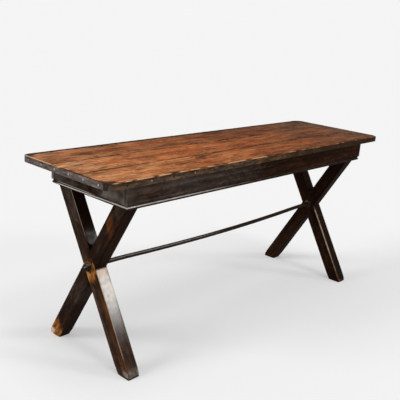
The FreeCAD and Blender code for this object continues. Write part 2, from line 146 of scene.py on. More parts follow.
def rough(place, size, seed=0):
    """Smooth noise from about -1 to 1, with bumps about as large as size."""
    return noise.noise(Vector(place) / size + SEED_SHIFT * seed)


def uneven(place, seed, *layers):
    """How far an uneven face lies in: each layer has its mean depth and the size of its bumps."""
    return sum(depth * (1 + rough(place, size, seed)) for depth, size in layers)


def blot(place, centre, reach, seed=0):
    """1 inside a ragged patch and 0 outside it."""
    offset = Vector((here - middle) / far for here, middle, far in zip(place, centre, reach))
    return rise(1.15, 0.65, offset.length + 0.35 * rough(place, 0.018, seed))


def grain_at(along, across, up, seed):
    """A place in the grain, moved so that no two timbers show the same figure."""
    return along + 3.7 * seed, across + 1.3 * seed, up


def add_object(name, data):
    made = bpy.data.objects.new(name, data)
    bpy.context.scene.collection.objects.link(made)
    return made


# Meshes

class Skin:
    """A mesh in the making, with the values that its material reads at each point."""

    def __init__(self):
        self.points = []
        self.faces = []

    def point(self, place, grain, wear=0.0, dirt=0.0, gloss=0.0, shade=0.0):
        self.points.append((place, grain, wear, dirt, gloss, shade))
        return len(self.points) - 1

    def face(self, corners):
        kept = [corner for index, corner in enumerate(corners) if corner != corners[index - 1]]
        if len(kept) > 2:
            self.faces.append(kept)

    def join(self, rings, loop=False, open_ends=False):
        """Joins each ring of points to the next, and closes the ends unless the rings make a loop."""
        pairs = list(zip(rings, rings[1:]))
        if loop:
            pairs.append((rings[-1], rings[0]))
        elif not open_ends:
            self.face(rings[0])
            self.face(rings[-1])
        for first, second in pairs:
            for here in range(len(first)):
                self.face((first[here - 1], first[here], second[here], second[here - 1]))

    def sweep(self, stations, points, add, loop=False):
        """Joins a ring at each station, where add gives each of the ring's points."""
        self.join([[add(station, point) for point in points] for station in stations], loop)

    def build(self, node, slot):
        """Makes the piece that stands for a node of the frame."""
        name = node + "_worn"
        mesh = bpy.data.meshes.new(name)
        places, grains, *looks = zip(*self.points)
        mesh.from_pydata(places, [], self.faces)
        grain = mesh.attributes.new("grain", "FLOAT_VECTOR", "POINT")
        grain.data.foreach_set("vector", [part for place in grains for part in place])
        for key, values in zip(("wear", "dirt", "gloss", "shade"), looks):
            mesh.attributes.new(key, "FLOAT", "POINT").data.foreach_set("value", values)
        work = bmesh.new()
        work.from_mesh(mesh)
        bmesh.ops.recalc_face_normals(work, faces=work.faces)
        work.to_mesh(mesh)
        work.free()
        mesh.shade_smooth()
        mesh.set_sharp_from_angle(angle=CREASE)
        mesh.materials.append(FINISHES[slot])
        piece = add_object(name, mesh)
        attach(piece, "root")
        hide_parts(node)


def section(low, high, ease, step, bends=2, arris_lines=False):
    """Points round a rectangle with eased corners: place, outward direction and nearness to a corner."""
    left, bottom = low[0] + ease, low[1] + ease
    right, top = high[0] - ease, high[1] - ease
    centres = [Vector(centre) for centre in ((left, bottom), (right, bottom), (right, top), (left, top))]
    points = []
    for index, centre in enumerate(centres):
        for turn in even(bends):
            angle = math.radians(180 + 90 * (index + turn))
            out = Vector((math.cos(angle), math.sin(angle)))
            points.append((centre + ease * out, out, 1.0))
        side = points[-1][0]
        far = centres[(index + 1) % 4] + ease * out
        length = (far - side).length
        count = max(2, 2 * round(length / step / 2))
        lines = [share * length for share in even(count)[1:-1]]
        if arris_lines and length > 3 * step:
            lines = sorted([ARRIS_LINE, *lines, length - ARRIS_LINE])
        for line in lines:
            near = min(line, length - line)
            points.append((side.lerp(far, line / length), out, 1 - rise(0, ARRIS_REACH, near)))
    return points


def make_timber(node, slot, points, place, ends, cuts, finish, seed):
    """Makes a straight timber: a section carried between its two ends.

    place turns (along, across, up) into a place, and ends gives where the line at a place across starts and
    stops. finish gives how far a point is worn in, and its wear, dirt, gloss and shade.
    """
    skin = Skin()

    def add(share, point):
        spot, out, edge = point
        along = between(*ends(spot.x), share)
        face = place(0, *out) - place(0, 0, 0)
        there = place(along, *spot)
        sunk, *look = finish(there, face, edge)
        return skin.point(there - sunk * face, grain_at(along, *spot, seed), *look)

    skin.sweep(cuts, points, add)
    skin.build(node, slot)


def runs_along_x(name):
    low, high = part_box(name)
    return high.x - low.x > high.y - low.y


def boxed(name, ease, step):
    """Section, placing function and ends of a straight timber that fills a node's box."""
    low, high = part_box(name)
    if runs_along_x(name):
        points = section((low.y, low.z), (high.y, high.z), ease, step)
        return points, lambda along, across, up: Vector((along, across, up)), (low.x, high.x)
    points = section((low.x, low.z), (high.x, high.z), ease, step)
    return points, lambda along, across, up: Vector((across, along, up)), (low.y, high.y)


# Materials

class Value:
    """A number or colour that a node gives, so that a sum of them reads as one."""

    def __init__(self, shader, socket):
        self.shader = shader
        self.socket = socket

    def __add__(self, other):
        return self.shader.math("ADD", self, other)

    def __sub__(self, other):
        return self.shader.math("SUBTRACT", self, other)

    def __rsub__(self, other):
        return self.shader.math("SUBTRACT", other, self)

    def __mul__(self, other):
        return self.shader.math("MULTIPLY", self, other)

    def highest(self, other):
        return self.shader.math("MAXIMUM", self, other)

    def clamped(self):
        """Keeps a sum between 0 and 1."""
        self.socket.node.use_clamp = True
        return self

    def step(self, low, high):
        """0 below low, 1 above high, smooth between; low may be the larger."""
        made = self.shader.node("MapRange", self, low, high, 0.0, 1.0, interpolation_type="SMOOTHSTEP")
        return Value(self.shader, made.outputs[0])


class Shader:
    """Builds a material, or the world's light, node by node."""

    def __init__(self, owner, surface="Principled BSDF"):
        owner.use_nodes = True
        self.owner = owner
        self.tree = owner.node_tree
        self.surface = self.tree.nodes[surface]

    def put(self, socket, value):
        if isinstance(value, Value):
            self.tree.links.new(value.socket, socket)
        elif isinstance(value, tuple) and socket.type == "RGBA":
            socket.default_value = (*value, 1)
        else:
            socket.default_value = value

    def node(self, kind, *inputs, **settings):
        """Adds a node and fills its first sockets."""
        made = self.tree.nodes.new("ShaderNode" + kind)
        for name, value in settings.items():
            setattr(made, name, value)
        for socket, value in zip(made.inputs, inputs):
            self.put(socket, value)
        return made

    def fill(self, made, **sockets):
        """Fills a node's sockets by name."""
        for name, value in sockets.items():
            self.put(made.inputs[name.replace("_", " ")], value)
        return made

    def finish(self, **sockets):
        self.fill(self.surface, **sockets)
        return self.owner

    def read(self, name, output="Fac"):
        """A value that the mesh holds at each point."""
        return Value(self, self.node("Attribute", attribute_name=name).outputs[output])

    def noise_at(self, place, scale, detail, roughness=0.5, distortion=0.0):
        made = self.fill(self.node("TexNoise"), Vector=place, Scale=scale, Detail=detail,
                         Roughness=roughness, Distortion=distortion)
        return Value(self, made.outputs["Fac"])

    def noise(self, along, across, detail=3, roughness=0.55, distortion=0.0):
        """Noise in the mesh's grain, in bumps per metre along and across it."""
        scaled = self.node("VectorMath", self.read("grain", "Vector"), (along, across, across),
                           operation="MULTIPLY")
        return self.noise_at(Value(self, scaled.outputs[0]), 1, detail, roughness, distortion)

    def solid_noise(self, scale, detail=2):
        """Noise for the frame's own solids, which hold no grain."""
        return self.noise_at(Value(self, self.node("TexCoord").outputs["Object"]), scale, detail)

    def math(self, operation, first, second):
        return Value(self, self.node("Math", first, second, operation=operation).outputs[0])

    def mix(self, share, first, second, blend="MIX"):
        made = self.node("Mix", data_type="RGBA", blend_type=blend)
        for place, value in ((0, share), (6, first), (7, second)):
            self.put(made.inputs[place], value)
        return Value(self, made.outputs[2])

    def tint(self, colour, factor):
        return self.mix(1.0, colour, factor, "MULTIPLY")

    def ramp(self, value, *stops):
        made = self.node("ValToRGB", value)
        elements = made.color_ramp.elements
        for index, (place, colour) in enumerate(stops):
            element = elements[index] if index < 2 else elements.new(place)
            element.position = place
            element.color = (*colour, 1)
        return Value(self, made.outputs["Color"])

    def bump(self, height, depth):
        made = self.fill(self.node("Bump"), Strength=1.0, Distance=depth, Height=height)
        return Value(self, made.outputs["Normal"])

    def seen(self):
        """1 for what the camera sees, also mirrored or through glass, and 0 for other light."""
        rays = self.node("LightPath").outputs
        camera, mirrored, through = (Value(self, rays[f"Is {kind} Ray"])
                                     for kind in ("Camera", "Glossy", "Transmission"))
        return camera.highest(mirrored).highest(through)


def new_material(name):
    return Shader(bpy.data.materials.new(name))


def top_wood():
    """Old waxed pine: orange-brown, streaked along the grain, with dark scratches and grime.

    shade is its age, from the left end to the right, and also painted light: brighter at the left end, as
    with a sheen there, darker towards the right. gloss is how soiled it is, dirt is its grime, and wear is
    where it is rubbed bare.
    """
    shader = new_material("top_wood")
    broad = shader.noise(4.6, 12, 3, 0.62, 0.8)
    rings = shader.noise(3.4, 62, 4, 0.66, 1.4)
    pores = shader.noise(12, 330, 3, 0.6)
    cloud = shader.noise(6, 16, 4, 0.65)
    stains = shader.noise(9, 30, 4, 0.72, 1.0)
    hue = shader.noise(5, 19, 3, 0.6, 0.7)
    flecks = shader.noise(30, 75, 3, 0.65, 0.8)
    dashes = shader.noise(15, 135, 3, 0.6, 0.6)
    colour = shader.ramp(broad * 0.48 + rings * 0.52,
                         (0.38, (0.18, 0.058, 0.018)), (0.46, (0.43, 0.160, 0.058)),
                         (0.53, (0.62, 0.260, 0.105)), (0.62, (0.82, 0.410, 0.190)))
    colour = shader.mix(pores.step(0.52, 0.68) * 0.7, colour, (0.17, 0.052, 0.016))
    colour = shader.mix(stains.step(0.50, 0.66) * 0.74, colour, (0.130, 0.052, 0.021))
    colour = shader.mix(hue.step(0.50, 0.66) * 0.75, colour, shader.tint(colour, (1.14, 0.88, 0.66)))
    colour = shader.mix(hue.step(0.47, 0.34) * 0.75, colour, shader.tint(colour, (0.74, 0.80, 0.78)))
    colour = shader.mix(flecks.step(0.54, 0.70) * 0.42, colour, (0.90, 0.52, 0.28))
    scratches = dashes.step(0.54, 0.63) * cloud.step(0.45, 0.58)
    colour = shader.mix(scratches * 0.85, colour, (0.040, 0.016, 0.008))
    # Age and painted light: the top darkens from its bright left end towards the right.
    age_and_light_tint = shader.ramp(shader.read("shade"), (0.0, (1, 1, 1)), (1.0, (0.215, 0.22, 0.245)),
                         (0.25, (0.87, 0.71, 0.57)), (0.5, (0.57, 0.40, 0.26)),
                         (0.75, (0.395, 0.295, 0.205)))
    colour = shader.tint(colour, age_and_light_tint)
    colour = shader.mix(shader.read("gloss"), colour, shader.tint(colour, (0.66, 0.67, 0.72)))
    ragged = (shader.noise(24, 170, 4, 0.7) - 0.5) * 1.5
    grime = (shader.read("dirt") + ragged).step(0.30, 0.62)
    colour = shader.mix(grime * 0.92, colour, (0.024, 0.015, 0.010))
    bare = (shader.read("wear") + shader.noise(40, 90, 3) * 0.7).step(0.70, 1.15)
    colour = shader.mix(bare * 0.8, colour, (0.78, 0.45, 0.24))
    height = rings * 0.5 + pores * -0.3 + scratches * -0.5
    return shader.finish(Base_Color=colour, Roughness=cloud * 0.2 + grime * 0.15 + 0.45,
                         Normal=shader.bump(height, 0.0012), Specular_IOR_Level=0.012)


def dark_wood():
    """Wood under a dark, rubbed polish that has faded grey and worn through to red, orange and pale wood.

    wear is how far it is rubbed through, dirt is its grime and painted shade, and gloss its polish.
    shade up to 1 is how grey it is, from fading and from painted light, and from 1 to 3 how pale, from
    bleaching and from painted highlights. There wear only warms the pale colour.
    """
    shader = new_material("dark_wood")
    wear, dirt, gloss, shade = (shader.read(name) for name in ("wear", "dirt", "gloss", "shade"))
    streaks = shader.noise(2.2, 70, 4, 0.62, 0.6)
    cloud = shader.noise(9, 22, 4, 0.66)
    mottle = shader.noise(26, 60, 4, 0.72, 0.6)
    speck = shader.noise(60, 190, 3, 0.6)
    tone = streaks * 0.42 + cloud * 0.28 + mottle * 0.30
    stain = shader.ramp(tone, (0.38, (0.010, 0.0048, 0.0027)), (0.51, (0.025, 0.0115, 0.0064)),
                        (0.63, (0.062, 0.0265, 0.0125)))
    # faded: grey-brown of faded wood, and also painted light on the aprons' left end and front.
    faded = shader.ramp(tone, (0.38, (0.042, 0.030, 0.024)), (0.51, (0.108, 0.079, 0.063)),
                        (0.63, (0.240, 0.188, 0.158)))
    # Cream for bleached wood and for painted highlights, warmed by wear.
    bleach_and_highlight = shader.mix(wear, (0.86, 0.80, 0.71), (0.95, 0.56, 0.28))
    faded = shader.mix(shade.step(1.0, 3.0), faded, bleach_and_highlight)
    # Share of grey-brown: faded wood, and painted light on the aprons.
    fade_and_painted_light = (shade + (mottle - 0.5) * 0.9).clamped()
    colour = shader.mix(fade_and_painted_light * shade.step(0.0, 0.2), stain, faded)
    rub = wear + (streaks - 0.5) * 0.40 + (mottle - 0.5) * 0.45
    bare = shader.ramp(rub, (0.15, (0.062, 0.023, 0.0105)), (0.38, (0.150, 0.048, 0.014)),
                       (0.66, (0.52, 0.215, 0.048)), (0.95, (0.80, 0.68, 0.54)))
    colour = shader.mix(rub.step(0.08, 0.48) * shade.step(1.5, 1.0), colour, bare)
    # dirt is grime, and also painted shade in the beads' recesses and on the far legs' edge faces.
    grime = (dirt + (speck - 0.5) * 0.6).step(0.25, 0.85)
    colour = shader.mix(grime * 0.92, colour, (0.007, 0.006, 0.0055))
    height = streaks * 0.5 + speck * 0.25
    dull = cloud * 0.25 + rub.highest(0.0) * 0.30
    return shader.finish(Base_Color=colour, Roughness=(dull + 0.42 - gloss * 0.22).clamped(),
                         Normal=shader.bump(height, 0.0005), Coat_Weight=gloss * gloss, Coat_Roughness=0.18,
                         Specular_IOR_Level=0.01)


def bare_wood():
    """Unfinished wood under the top, gone grey-brown with age."""
    shader = new_material("bare_wood")
    rings = shader.noise(1.4, 55, 4, 0.6, 0.7)
    saw = shader.noise(150, 6, 2)
    speck = shader.noise(25, 130, 3, 0.6)
    colour = shader.ramp(rings, (0.32, (0.16, 0.085, 0.042)), (0.5, (0.27, 0.155, 0.08)),
                         (0.68, (0.38, 0.245, 0.14)))
    colour = shader.mix(speck.step(0.55, 0.75), colour, (0.10, 0.058, 0.032))
    colour = shader.mix(shader.read("dirt").step(0.1, 1) * 0.8, colour, (0.05, 0.03, 0.02))
    return shader.finish(Base_Color=colour, Roughness=speck * 0.3 + 0.62,
                         Normal=shader.bump(rings * 0.5 + saw * 0.4, 0.001), Specular_IOR_Level=0.25)


def black_iron():
    """Forged iron: grey where it is rubbed and where a highlight is painted, brown-black where dirt and rust
    have settled.

    shade is how brown it is, dirt is dark rust, gloss is fresh orange rust, and wear is where it is rubbed
    and where a highlight is painted on the rod and the nuts.
    """
    shader = new_material("black_iron")
    wear, dirt, gloss, shade = (shader.read(name) for name in ("wear", "dirt", "gloss", "shade"))
    cloud = shader.noise(20, 95, 4, 0.72, 0.5)
    speck = shader.noise(170, 170, 3, 0.6)
    scale = shader.noise(75, 75, 4, 0.6)
    blend = cloud * 0.8 + speck * 0.2
    grey = shader.ramp(blend, (0.36, (0.060, 0.050, 0.045)), (0.51, (0.165, 0.138, 0.125)),
                       (0.66, (0.330, 0.290, 0.270)))
    brown = shader.ramp(blend, (0.37, (0.026, 0.0155, 0.0095)), (0.50, (0.105, 0.051, 0.0245)),
                        (0.62, (0.290, 0.170, 0.086)))
    colour = shader.mix(shade, grey, brown)
    rust = (dirt + (cloud - 0.5) * 1.2).step(0.25, 0.75)
    dark_rust = shader.mix(speck, (0.014, 0.009, 0.006), (0.055, 0.030, 0.016))
    colour = shader.mix(rust * 0.85, colour, dark_rust)
    fresh_rust = shader.mix(scale, (0.05, 0.016, 0.006), (0.55, 0.25, 0.07))
    colour = shader.mix(gloss, colour, fresh_rust)
    # Light grey where it is rubbed, and painted highlights on the rod and the nuts.
    rub_and_highlight = (wear + (speck - 0.5) * 0.6).step(0.30, 0.85)
    colour = shader.mix(rub_and_highlight, colour, (0.42, 0.40, 0.385))
    worn_bright = (1.0 - rust) * (1.0 - shade).clamped()
    return shader.finish(Base_Color=colour, Roughness=cloud * 0.25 + rust * 0.20 + 0.34,
                         Metallic=worn_bright * 0.25, Specular_IOR_Level=0.02,
                         Normal=shader.bump(scale * 0.7 + speck * 0.3, 0.0008))


def nail_steel():
    """Domed nail heads, some rubbed bright and some black."""
    shader = new_material("nail_steel")
    speck = shader.noise(400, 400, 3)
    bright = (shader.read("wear") + (speck - 0.5) * 0.5).step(0.2, 0.9)
    colour = shader.mix(bright, (0.034, 0.024, 0.017), (0.42, 0.40, 0.38))
    return shader.finish(Base_Color=colour, Roughness=0.65 - bright * 0.20, Metallic=bright * 0.6,
                         Normal=shader.bump(speck, 0.0004), Specular_IOR_Level=0.08)


def peg_wood():
    """End grain, for the pegs, which keep their own solids."""
    shader = new_material("peg_wood")
    grain = shader.solid_noise(350, 4)
    colour = shader.ramp(grain, (0.35, (0.10, 0.052, 0.026)), (0.65, (0.30, 0.18, 0.095)))
    return shader.finish(Base_Color=colour, Roughness=grain * 0.3 + 0.55,
                         Normal=shader.bump(grain, 0.0004), Specular_IOR_Level=0.2)


def hidden_steel():
    """Dull steel, for the small fasteners, which keep their own solids."""
    shader = new_material("hidden_steel")
    patina = shader.solid_noise(900)
    colour = shader.mix(patina, (0.016, 0.012, 0.010), (0.09, 0.07, 0.055))
    return shader.finish(Base_Color=colour, Roughness=patina * 0.3 + 0.4, Metallic=0.5,
                         Normal=shader.bump(patina, 0.0003))


# The finishes that the meshes wear, each under the name of its slot
FINISHES = {make.__name__: make() for make in (top_wood, dark_wood, bare_wood, black_iron, nail_steel)}


# Top boards

BAND_LOW, BAND_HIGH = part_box("edge_band")
BOARD_LOW, FRONT_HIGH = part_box("top_board_front")
BACK_LOW, BOARD_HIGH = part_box("top_board_back")
FRONT_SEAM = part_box("top_board_middle")[0].y
BACK_SEAM = BACK_LOW.y
TONGUE_DEPTH = FRONT_HIGH.y - FRONT_SEAM
TONGUE_LOW = (BOARD_LOW.z + BOARD_HIGH.z - TONGUE_THICKNESS) / 2
TONGUE_HIGH = TONGUE_LOW + TONGUE_THICKNESS
# Mesh lines beside a board's arrises, how far from one counts as worn, and steps across and along a board
FACE_STRIPS = (0.0015, 0.004, 0.007, 0.011, 0.016)
FACE_ARRIS_REACH = 0.006
FACE_STEPS = 24
LENGTH_STEPS = 270
# Depth, wear, dirt, soiling, and age with painted light, where a board isn't worn
UNWORN_BOARD = (0, 0, 0.2, 0, 0.8)

# Marks in the top: place, reach along and across, depth and dirt
TOP_MARKS = [
    (-0.290, -0.112, 0.050, 0.018, 0.0016, 0.50), (-0.250, -0.142, 0.060, 0.014, 0.0012, 0.42),
    (0.250, -0.203, 0.080, 0.018, 0.0008, 0.30), (0.350, -0.186, 0.050, 0.014, 0.0006, 0.25),
    (-0.330, 0.045, 0.050, 0.012, 0.0005, 0.22), (0.010, 0.020, 0.060, 0.012, 0.0005, 0.22),
    (0.480, 0.010, 0.080, 0.016, 0.0004, 0.22), (0.210, -0.130, 0.045, 0.010, 0.0006, 0.25),
    (0.480, -0.085, 0.060, 0.014, 0.0005, 0.28), (-0.600, 0.160, 0.035, 0.012, 0.0005, 0.25),
    (-0.560, -0.190, 0.030, 0.012, 0.0006, 0.25), (-0.330, 0.215, 0.080, 0.016, 0.0004, 0.28),
    (0.020, 0.220, 0.070, 0.012, 0.0004, 0.25), (-0.090, -0.165, 0.050, 0.009, 0.0005, 0.22),
]
DENT_COUNT = 70


def small_dents():
    """More marks, scattered over the top."""
    draw = random.Random(11)
    reach_x, reach_y = BOARD_HIGH.x - 0.03, BOARD_HIGH.y - 0.02
    limits = ((-reach_x, reach_x), (-reach_y, reach_y), (0.006, 0.022), (0.003, 0.007), (0.0003, 0.0011),
              (0.05, 0.3))
    return [tuple(draw.uniform(low, high) for low, high in limits) for _ in range(DENT_COUNT)]


DENTS = TOP_MARKS + small_dents()


def dented(x, y):
    """How deep, and how dirty, the marks make a place on the top."""
    depth = dirt = 0
    for mark_x, mark_y, along, across, mark_depth, mark_dirt in DENTS:
        far = ((x - mark_x) / along) ** 2 + ((y - mark_y) / across) ** 2
        if far < 4:
            share = math.exp(-1.6 * far)
            depth += mark_depth * share * (1 + 0.5 * rough((x, y, 0), 0.006))
            dirt = max(dirt, mark_dirt * rise(2.6, 0.4, far + rough((x, y * 2, 0), 0.012)))
    return depth, dirt


def top_wear(x, y, broken):
    """The finish is rubbed off along the left and front arrises, and partly in a patch at the left end."""
    left = 0.8 * rise(0.008, 0.002, x + BOARD_HIGH.x) * rise(0.0, 0.10, y)
    front = rise(0.007, 0.003, y + BOARD_HIGH.y) * rise(0.30, 0.60, broken)
    front *= between(0.5, 0.95, rise(0.3, -0.1, x))
    return max(left, front, 0.46 * blot((x, y, 0), (-0.80, 0.0, 0), (0.08, 0.09, 1)))


def top_dirt(x, y, broken):
    """Grime lies along the edges, in the seams and in the left corners."""
    from_left, from_right = x + BOARD_HIGH.x, BOARD_HIGH.x - x
    from_front, from_back = y + BOARD_HIGH.y, BOARD_HIGH.y - y
    ragged = 0.012 * rough((x, 0, 4), 0.06) + 0.008 * rough((x, y, 4), 0.02)
    places = [
        rise(0.034, 0.018, from_back + 0.6 * ragged) * between(0.60, 0.95, broken),
        rise(0.028, 0.006, from_right + ragged) * 0.7,
        rise(0.022, 0.006, from_left + ragged) * 0.25 * rise(0.3, 0.7, broken),
        rise(0.007, 0.003, from_left + 0.3 * ragged) * 0.7 * rise(0.06, -0.02, y),
        rise(0.020, 0.006, from_front + ragged) * between(0.62, 0.20, rise(0.25, 0.60, broken)),
    ]
    for seam in (FRONT_SEAM, BACK_SEAM):
        near = rise(0.0075, 0.0015, abs(y - seam + 0.003 * rough((x, seam, 6), 0.04)))
        strong = 0.66 + 0.50 * rough((x, seam, 2), 0.08)
        places.append(near * strong * between(0.6, 1, rise(0.4, 0.0, x)))
    for corner_y in (from_front, from_back):
        places.append(0.62 * rise(0.068, 0.040, math.hypot(from_left, corner_y) + ragged))
    return max(places)


def top_look(x, y, edge):
    """Depth, wear, dirt, soiling, and age with painted light, of a place on the top's face."""
    depth, dirt = dented(x, y)
    depth += uneven((x, y * 2, 3), 0, (0.0004, 0.22)) + uneven((x * 0.15, y, 5), 0, (0.00012, 0.006))
    depth += edge * uneven((x, y, 7), 0, (0.0007, 0.03))
    broken = 0.5 + 0.5 * rough((x, y, 1), 0.05)
    dirt = max(dirt, top_dirt(x, y, broken))
    soiled = rise(0.066, 0.085, y) * between(0.2, 0.9, rise(0.75, 0.35, x))
    soiled += 0.25 * rough((x, y * 2, 8), 0.09)
    # Age and painted light, rising from the left end, where the top is brightest, to the right.
    age_and_light = (x + BOARD_HIGH.x) / (2 * BOARD_HIGH.x) + 0.08 * rough((x, y, 9), 0.2)
    return depth, top_wear(x, y, broken), dirt, clamp(soiled), clamp(age_and_light)


def board_section(tongue, groove):
    """Points round a board.

    Each has its share of the board's width, an offset from there, its height, its nearness to an arris, and
    whether it is on the worn face.
    """
    high = BOARD_HIGH.z
    front = SEAM_ARRIS if groove else BOARD_ARRIS
    back = SEAM_ARRIS if tongue else BOARD_ARRIS
    inset = FACE_STRIPS[-1]

    def key(share, depth):
        """A tongue or a groove, from its lower side to its upper side."""
        return [(share, out, height, 0, False) for out, height in (
            (0, TONGUE_LOW), (depth, TONGUE_LOW), (depth, TONGUE_HIGH), (0, TONGUE_HIGH))]

    def rim(share, inward, arris):
        """A rounded arris, from the board's side up, and the lines beside it on the face."""
        points = []
        for turn in even(3):
            angle = turn * math.pi / 2
            offset, drop = arris * (1 - math.cos(angle)), arris * (1 - math.sin(angle))
            points.append((share, inward * offset, high - drop, 1, True))
        for strip in FACE_STRIPS:
            points.append((share, inward * (arris + strip), high, rise(FACE_ARRIS_REACH, 0, strip), True))
        return points

    bottom = [(share, 0, BOARD_LOW.z, 0, False) for share in even(6)]
    face = [(1 - share, between(-back - inset, front + inset, share), high, 0, True)
            for share in even(FACE_STEPS)[1:-1]]
    tongued = key(1, TONGUE_DEPTH) if tongue else []
    grooved = key(0, TONGUE_DEPTH + GROOVE_ROOM) if groove else []
    return bottom + tongued + rim(1, -1, back) + face + rim(0, 1, front)[::-1] + grooved[::-1]


def board_stations():
    """Places along the top and how far its rounded corners draw the edge in there."""
    straight = BOARD_HIGH.x - BOARD_CORNER
    bends = [(straight + BOARD_CORNER * math.sin(turn * math.pi / 2),
              BOARD_CORNER * (1 - math.cos(turn * math.pi / 2))) for turn in even(14)[1:]]
    middle = [(between(-straight, straight, share), 0) for share in even(LENGTH_STEPS)]
    return [(-x, inset) for x, inset in reversed(bends)] + middle + bends


def make_board(name, front, back, seed, tongue=False, groove=False):
    skin = Skin()

    def add(station, point):
        x, inset = station
        share, offset, height, edge, worn = point
        start = front if groove else front + inset
        stop = back if tongue else back - inset
        y = between(start, stop, share) + offset
        depth, *look = top_look(x, y, edge) if worn else UNWORN_BOARD
        if worn:
            drop = max(BOARD_ARRIS - (BOARD_HIGH.x - abs(x)), 0)
            depth += BOARD_ARRIS - math.sqrt(BOARD_ARRIS ** 2 - drop ** 2)
        return skin.point((x, y, height - depth), grain_at(x, y, height, seed), *look)

    skin.sweep(board_stations(), board_section(tongue, groove), add)
    skin.build(name, "top_wood")


def make_top():
    make_board("top_board_front", BOARD_LOW.y, FRONT_SEAM, 1, tongue=True)
    make_board("top_board_middle", FRONT_SEAM, BACK_SEAM, 2, tongue=True, groove=True)
    make_board("top_board_back", BACK_SEAM, BOARD_HIGH.y, 3, groove=True)


# Iron band and its nails

# Reach and height of a nail head's rings, as shares of its radius and crown
NAIL_SHARES = ((0.42, -1.0), (1, -0.5), (1, 0.0), (0.93, 0.36), (0.72, 0.7), (0.4, 0.92), (0.1, 1))
BRIGHT_FRONT_NAILS = (-0.692, -0.479)


def band_path():
    """Points along the band's outer face, from end to end of the strip, and which way they face."""
    radius = BOARD_CORNER + BAND_THICKNESS
    run_x, run_y = BAND_HIGH.x - radius, BAND_HIGH.y - radius
    here = Vector((BAND_GAP / 2, BAND_HIGH.y, 0))
    end = Vector((-BAND_GAP / 2, BAND_HIGH.y, 0))
    path = []

    def straight(start, stop, out):
        count = max(1, round((stop - start).length / BAND_STEP))
        path.extend((start.lerp(stop, share), out) for share in even(count)[:-1])

    for x, y, first in ((run_x, run_y, 90), (run_x, -run_y, 0), (-run_x, -run_y, -90), (-run_x, run_y, 180)):
        bend = []
        for turn in even(10):
            angle = math.radians(first - 90 * turn)
            out = Vector((math.cos(angle), math.sin(angle), 0))
            bend.append((Vector((x, y, 0)) + radius * out, out))
        straight(here, *bend[0])
        path += bend[:-1]
        here = bend[-1][0]
    straight(here, end, Y_AXIS)
    return path + [(end, Y_AXIS)]


def make_band():
    """A hammered strip: grey at the left end, bare iron with a painted sheen, rust-brown along the front, and
    nearly black at the right end.
    """
    skin = Skin()
    points = section((0, BAND_LOW.z), (BAND_THICKNESS, BAND_HIGH.z), BAND_EASE, 0.004)
    rings = []
    travelled = 0
    last = None
    for spot, out in band_path():
        travelled += (spot - last).length if last else 0
        last = spot
        hammered = uneven(spot, 4, (0.00035, 0.045)) + uneven(spot, 5, (0.0002, 0.012))
        ragged = uneven(spot, 6, (0.0005, 0.02))
        left, right = rise(-0.3, -0.9, out.x), rise(0.3, 0.9, out.x)
        behind = rise(0.3, 0.8, out.y)
        # At the left end less brown: bare grey iron, greyed further as a painted sheen.
        brown = 0.82 + 0.25 * rough(spot, 0.10, 7) + 0.35 * rise(-0.3, 0.1, spot.x)
        brown = max(brown * (1 - 0.85 * left), behind)
        grimy = 0.55 * right + 0.5 * behind - 0.12 * left
        grimy += 0.36 * rise(-0.1, 0.5, spot.x) + 0.5 * rise(0.70, 0.80, spot.x)
        if out.y < 0:
            grimy += 0.7 * rise(-0.995, -0.96, out.x) * rise(-0.70, -0.82, out.x)
        ring = []
        for place, face, edge in points:
            high = place.y - (ragged if face.y > 0.5 else 0)
            inward = BAND_THICKNESS - place.x + hammered * rise(0, 1, face.x)
            there = spot - inward * out + Z_AXIS * high
            blotch = 0.5 + 0.5 * rough(there, 0.035, 8)
            dirt = 0.10 + 0.42 * blotch + grimy
            dirt += 0.4 * rise(0.010, 0.002, BAND_HIGH.z - high) * rise(0.4, 0.75, blotch)
            wear = (0.06 + 0.20 * left) * edge * (0.5 + 0.5 * rough(there, 0.02, 9)) + 0.08 * left
            ring.append(skin.point(there, (travelled, high, inward), wear, dirt, 0, clamp(brown)))
        rings.append(ring)
    skin.join(rings)
    skin.build("edge_band", "black_iron")


def nail_heads():
    """Where each nail of the band sits and which way its head faces, read from the frame's own nails."""
    work = bmesh.new()
    work.from_mesh(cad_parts["edge_nails"].data)
    bmesh.ops.remove_doubles(work, verts=work.verts, dist=0.00001)
    left = set(work.verts)
    heads = []
    while left:
        island, fresh = set(), {left.pop()}
        while fresh:
            vert = fresh.pop()
            island.add(vert)
            fresh |= {edge.other_vert(vert) for edge in vert.link_edges} - island
        left -= island
        low = Vector(min(vert.co[axis] for vert in island) for axis in range(3))
        high = Vector(max(vert.co[axis] for vert in island) for axis in range(3))
        seat = (low + high) / 2
        if high.x - low.x > high.y - low.y:
            out = X_AXIS * math.copysign(1, seat.x)
            seat.x = out.x * BAND_HIGH.x
        else:
            out = Y_AXIS * math.copysign(1, seat.y)
            seat.y = out.y * BAND_HIGH.y
        heads.append((seat, out))
    work.free()
    return sorted(heads, key=lambda head: tuple(round(part, 4) for part in head[0]))


def make_nails():
    """Low domes, no two alike. The near end's are rubbed bright, and a few along the front."""
    skin = Skin()
    draw = random.Random(5)
    for seat, out in nail_heads():
        side = out.cross(Z_AXIS)
        size = NAIL_HEAD / 2 * draw.uniform(0.88, 1.06)
        flat = draw.uniform(0.75, 1)
        turn = draw.uniform(0, 6.28)
        shine = draw.uniform(0.0, 0.22)
        if out.x < -0.5:
            shine = draw.uniform(0.55, 0.85)
        elif out.y < -0.5 and min(abs(seat.x - x) for x in BRIGHT_FRONT_NAILS) < 0.02:
            shine = 0.6

        def add(shares, angle):
            reach, crown = shares
            ragged = 1 + 0.05 * math.sin(3 * angle + turn) + 0.03 * math.sin(5 * angle - turn)
            spot = seat + size * reach * ragged * (math.cos(angle) * side + math.sin(angle) * Z_AXIS)
            spot += out * crown * NAIL_CROWN * flat
            return skin.point(spot, spot, shine)

        skin.sweep(NAIL_SHARES, turns(NAIL_SIDES), add)
    skin.build("edge_nails", "nail_steel")


# Apron

END_GRAIN = 0.0015


